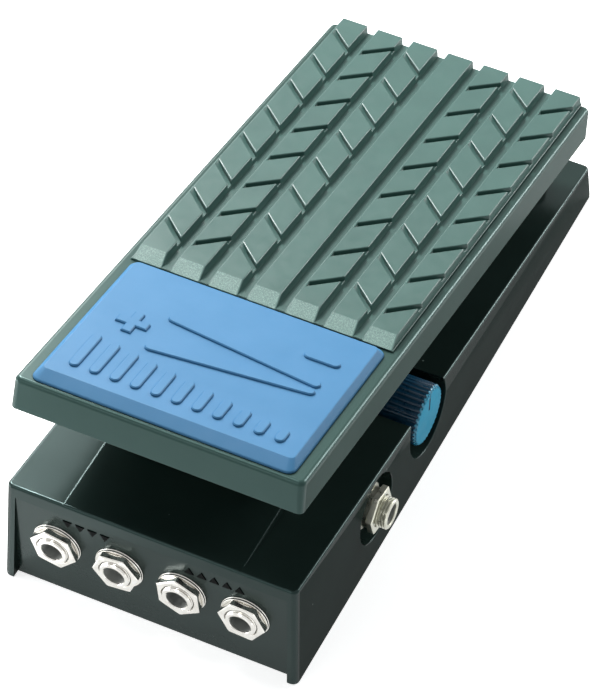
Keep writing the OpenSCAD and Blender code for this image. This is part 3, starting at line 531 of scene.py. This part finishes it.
def contact_leaves(name, place):
    """Two sprung leaves in a jack's bore, each bowed towards the plug's way."""
    bm = bmesh.new()
    steps, half_width, thickness, seat_r = 12, 0.9, 0.14, 3.45
    for angle, start, end, bow in ((25, -3.2, -14.5, 1.7), (205, -3.6, -11.5, 1.9)):
        turn = place @ Matrix.Rotation(math.radians(angle), 4, "Z")
        rows = []
        for i in range(steps + 1):
            t = i / steps
            z = start + (end - start) * t
            r = seat_r - bow * math.sin(math.pi * min(1, t * 1.15)) ** 1.5
            corners = ((r, -half_width, z), (r, half_width, z),
                       (r + thickness, half_width, z), (r + thickness, -half_width, z))
            rows.append([bm.verts.new(turn @ (Vector(p) * MM)) for p in corners])
        for a, b in zip(rows, rows[1:]):
            for i in range(4):
                j = (i + 1) % 4
                bm.faces.new((a[i], a[j], b[j], b[i]))
        bm.faces.new(rows[0])
        bm.faces.new(rows[-1])
    leaves = new_object(name, bm)
    smooth(leaves, 40)
    return leaves


def jack_hardware():
    """Threaded bushings, washers, sleeves, contact leaves and nuts of the five jacks."""
    washers, nuts = {}, {}
    for name, mount in sorted(MOUNTS.items()):
        if mount["kind"] != "bore":
            continue
        place = axis_frame(mount["pos_m"], mount["axis"])
        side = name == "side_jack"
        kind = "side_jack_" if side else "front_jack_"
        number = "" if side else "_" + name[-1]
        metal = AGED_NICKEL if side else FINISH["nickel"]
        top = SIDE_TOP if side else FRONT_TOP

        bushing = turned(name + "_bushing", thread_profile(top), place)
        finish_piece(bushing, kind + "bushing" + number, metal)
        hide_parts(kind + "bushing" + number)

        washers[name] = turned(name + "_washer", washer_profile(spacer=side), place)
        finish_piece(washers[name], kind + ("washer" if side else "washers"), metal)

        tube = [(SLEEVE_R, top - 0.6), (SLEEVE_R, SLEEVE_FOOT),
                (SLEEVE_BORE_R, SLEEVE_FOOT), (SLEEVE_BORE_R, top - 0.6)]
        sleeve = turned(name + "_sleeve", tube, place)
        finish_piece(sleeve, kind + "body" + number, BORE_TIN)

        leaves = contact_leaves(name + "_contacts", place)
        finish_piece(leaves, kind + "body" + number, FINISH["nickel"])

        nuts[name] = build_nut(name + "_nut", kind + ("nut" if side else "nuts"), place, metal)
    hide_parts("front_jack_nuts")
    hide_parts("side_jack_nut")
    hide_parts("side_jack_washer")
    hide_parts("front_jack_washers")


def knob_teeth(knob):
    """Short teeth round the knob's face, where its edge is broken. Face and teeth take a lighter
    copy of the knob's blue as painted light.
    """
    low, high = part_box("min_volume_knob")
    radius = (high.z - low.z) / 2 / MM
    count, height, chamfer, set_back = 34, 0.60, 0.16, 0.62
    inner, outer = radius - 2.1, radius - 0.5
    inner_half, outer_half = 0.28, 0.42
    face = Vector((high.x - set_back * MM, (low.y + high.y) / 2, (low.z + high.z) / 2))
    place = axis_frame(face, RIGHT)
    bm = bmesh.new()
    for i in range(count):
        turn = Matrix.Rotation(2 * math.pi * (i + 0.5) / count, 4, "Z")
        raised(bm, [(inner, -inner_half), (outer, -outer_half), (outer, outer_half),
                    (inner, inner_half)], height, chamfer, place @ turn)
    teeth = new_object("knob_teeth", bm)
    shade(teeth, 40)
    finish_piece(teeth, "min_volume_knob", KNOB_FACE_PAINTED_LIGHT)
    # The outward faces get the lighter copy of the blue, which is painted light.
    knob.data.materials.append(KNOB_FACE_PAINTED_LIGHT)
    for polygon in knob.data.polygons:
        if polygon.normal.x > 0.5:
            polygon.material_index = 1


def panel_marks():
    """Rows of triangles over the jack pairs: down for what goes in, up for what comes out. Their
    near-black is painted shade.
    """
    over_jacks, pitch, half_width, foot, tip, relief, chamfer = 10.2, 3.9, 1.45, 1.2, 1.3, 0.3, 0.1
    first = MOUNTS["front_jack_1"]
    for name, x, count, way in (("in", -20.0, 4, -1), ("out", 19.8, 5, 1)):
        middle = Vector((x * MM, first["pos_m"][1], first["pos_m"][2]))
        lift = Matrix.Translation((0, over_jacks * MM, 0))
        place = axis_frame(middle, first["axis"]) @ lift
        bm = bmesh.new()
        for i in range(count):
            c = (i - (count - 1) / 2) * pitch
            raised(bm, [(c - half_width, -foot * way), (c + half_width, -foot * way),
                        (c, tip * way)], relief, chamfer, place)
        marks = new_object("panel_marks_" + name, bm)
        shade(marks, 40)
        finish_piece(marks, "base_shell", MARK_PAINTED_SHADE)


for node, obj in frame["nodes"].items():
    obj.data.materials.clear()
    obj.data.materials.append(FINISH[SLOT_OF[node]])

dressed("base_shell", "base_casting", [(0.45, rim_edge(20)), (0.3, above_foot(0.12, 3))])
dressed("treadle", "treadle_casting", [(0.8, rim_edge(40)), (0.35, longer(1.0))])
mat = dressed("tread_mat", "ribbed_mat", [(0.36, longer(1.2))], shape=slope_grooves)
dressed("toe_pad", "blue_toe_pad", [(0.45, None)], angle=25)
knob = dressed("min_volume_knob", "blue_knob")
stipple_ramps(mat)
build_pad_motif()
jack_hardware()
panel_marks()
knob_teeth(knob)


# ---------------------------------------------------------------- stage

def white_world(light_level):
    """A world that the camera, gloss and glass see as white, and that lights more softly."""
    world = bpy.data.worlds.new("studio")
    scene.world = world
    world.use_nodes = True
    nodes, links = world.node_tree.nodes, world.node_tree.links
    nodes.clear()
    out = nodes.new("ShaderNodeOutputWorld")
    mix = nodes.new("ShaderNodeMixShader")
    seen = nodes.new("ShaderNodeBackground")
    seen.inputs["Color"].default_value = (1, 1, 1, 1)
    seen.inputs["Strength"].default_value = 1.0
    light = nodes.new("ShaderNodeBackground")
    light.inputs["Color"].default_value = (0.90, 0.97, 1.0, 1)
    light.inputs["Strength"].default_value = light_level
    links.new(seen_by_camera(nodes, links), mix.inputs["Fac"])
    links.new(light.outputs[0], mix.inputs[1])
    links.new(seen.outputs[0], mix.inputs[2])
    links.new(mix.outputs[0], out.inputs["Surface"])


def seen_by_camera(nodes, links):
    """1 for what the camera sees, straight or through gloss or glass."""
    path = nodes.new("ShaderNodeLightPath")
    total = path.outputs["Is Camera Ray"]
    for kind in ("Is Glossy Ray", "Is Transmission Ray"):
        either = nodes.new("ShaderNodeMath")
        either.operation = "MAXIMUM"
        links.new(total, either.inputs[0])
        links.new(path.outputs[kind], either.inputs[1])
        total = either.outputs[0]
    return total


def area_light(name, place, target, size, power):
    """A rectangular light that looks at a target; size in metres, power in watts."""
    data = bpy.data.lights.new(name, "AREA")
    data.shape = "RECTANGLE"
    data.size, data.size_y = size
    data.energy = power
    obj = bpy.data.objects.new(name, data)
    scene.collection.objects.link(obj)
    obj.location = place
    obj.rotation_euler = (Vector(target) - Vector(place)).to_track_quat("-Z", "Y").to_euler()


def build_floor():
    """A plain pale floor that the camera sees as white, with the object's shadow on it."""
    bm = bmesh.new()
    bmesh.ops.create_grid(bm, x_segments=1, y_segments=1, size=3)
    floor = new_object("floor", bm)
    floor.location.z = cad_box[0][2] - 0.2 * MM
    s = Shader("floor_white", Base_Color=(0.86, 0.87, 0.87, 1), Roughness=0.9,
               Specular_IOR_Level=0.1)
    s.bsdf.inputs["Emission Color"].default_value = (1, 1, 1, 1)
    s.into(s.ramp(seen_by_camera(s.nodes, s.links), 0, 1, 0, 0.72), "Emission Strength")
    floor.data.materials.append(s.material)


white_world(0.17)
build_floor()
area_light("key", (-0.50, 0.50, 0.70), (0, -0.02, 0.03), (0.24, 0.24), 11.7)
area_light("top", (-0.27, -0.03, 0.92), (0, -0.02, 0.04), (0.20, 0.20), 1.6)
area_light("front_strip", (-0.25, -0.75, 0.62), (0, -0.09, 0.03), (0.45, 0.18), 1.0)
area_light("back_panel", (-0.72, 0.74, 0.50), (0, 0, 0.03), (0.60, 0.50), 7.8)
area_light("fill", (-0.23, -0.19, 0.045), (-0.03, -0.11, 0.03), (0.12, 0.06), 0.33)
area_light("rim", (0.48, 0.90, 0.27), (0.03, 0.0, 0.03), (0.42, 0.09), 3.4)
area_light("edge", (0.50, 0.73, 0.45), (0.045, 0.0, 0.035), (0.20, 0.28), 2.6)


# ---------------------------------------------------------------- camera

def aim_camera(azimuth, elevation, roll, distance, aim, lens):
    """Camera at a distance from a point; azimuth 0 looks from the -Y side, angles in degrees."""
    a, e, t = map(math.radians, (azimuth, elevation, roll))
    back = Vector((math.sin(a) * math.cos(e), -math.cos(a) * math.cos(e), math.sin(e)))
    right = UP.cross(back).normalized()
    up = back.cross(right)
    side = right * math.cos(t) + up * math.sin(t)
    top = up * math.cos(t) - right * math.sin(t)
    data = bpy.data.cameras.new("camera")
    data.lens = lens
    data.sensor_width = 36
    camera = bpy.data.objects.new("camera", data)
    scene.collection.objects.link(camera)
    turn = Matrix((side, top, back)).transposed().to_4x4()
    camera.matrix_world = Matrix.Translation(Vector(aim) + back * distance) @ turn
    scene.camera = camera


aim_camera(azimuth=23.90, elevation=47.25, roll=1.83, distance=1.132,
           aim=(-0.0010, -0.0097, 0.0193), lens=196.66)
scene.view_settings.view_transform = "Standard"
